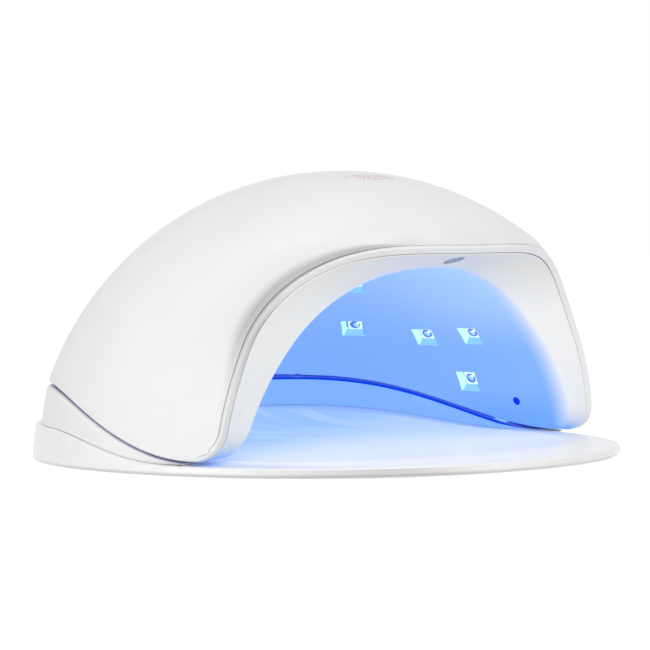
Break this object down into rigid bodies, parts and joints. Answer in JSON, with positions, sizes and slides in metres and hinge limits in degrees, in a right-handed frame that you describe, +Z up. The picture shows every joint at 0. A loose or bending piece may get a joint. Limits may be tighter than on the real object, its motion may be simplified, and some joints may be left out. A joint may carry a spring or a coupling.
{
  "type": "nail lamp",
  "caption": "Dome-shaped light-curing nail lamp with an arched hand opening, a blue reflector with recessed LEDs, top buttons and a lift-off oval base plate.",
  "frame": {"origin": "Centre of the footprint, on the table surface the rubber feet stand on.", "axes": "+X runs across the lamp to the right seen from the front, +Y runs from the hand opening to the rear, +Z is up. The arched opening faces -Y."},
  "size_m": [0.232, 0.2106, 0.108],
  "materials": {
    "white_shell": "satin gloss",
    "white_base": "satin gloss",
    "blue_reflector": "gloss",
    "ring_plastic": "moulded",
    "rubber_grey": "matt",
    "steel": "zinc plated",
    "magnet": "nickel plated",
    "board_green": "solder mask",
    "led_package": "gloss",
    "led_lens": "clear",
    "smoked_window": "smoked",
    "sensor_grey": "smoked",
    "black_plastic": "fine grain",
    "button_pink": "satin",
    "brass_pin": "plated"
  },
  "bodies": {
    "base": {"base_tray": "white_base", "base_collar": "white_base", "tray_feet": "rubber_grey", "collar_screws": "steel", "base_magnets": "magnet"},
    "head": {"upper_shell": "white_shell", "inner_housing": "blue_reflector", "bottom_ring": "ring_plastic", "ring_screws": "steel", "catch_plates": "steel", "liner_screws": "steel", "led_boards": "board_green", "led_packages": "led_package", "led_lenses": "led_lens", "sensor_window": "sensor_grey", "hand_sensor": "board_green", "control_board": "board_green", "board_screws": "steel", "display_module": "black_plastic", "display_window": "smoked_window", "key_switches": "black_plastic", "socket_surround": "black_plastic", "socket_barrel": "black_plastic", "socket_pin": "brass_pin"},
    "key_10s": {"button_10s": "button_pink"},
    "key_30s": {"button_30s": "button_pink"},
    "key_60s": {"button_60s": "button_pink"},
    "key_99s": {"button_99s": "button_pink"}
  },
  "joints": [
    {"name": "head_lift", "type": "slide", "parent": "base", "child": "head", "axis": [0, 0, 1], "range_m": [0, 0.1]},
    {"name": "press_10s", "type": "slide", "parent": "head", "child": "key_10s", "axis": [0, -0.3123, -0.95], "range_m": [0, 0.0008], "stiffness_N_per_m": 1200},
    {"name": "press_30s", "type": "slide", "parent": "head", "child": "key_30s", "axis": [0, -0.3123, -0.95], "range_m": [0, 0.0008], "stiffness_N_per_m": 1200},
    {"name": "press_60s", "type": "slide", "parent": "head", "child": "key_60s", "axis": [0, -0.3123, -0.95], "range_m": [0, 0.0008], "stiffness_N_per_m": 1200},
    {"name": "press_99s", "type": "slide", "parent": "head", "child": "key_99s", "axis": [0, -0.3123, -0.95], "range_m": [0, 0.0008], "stiffness_N_per_m": 1200}
  ]
}
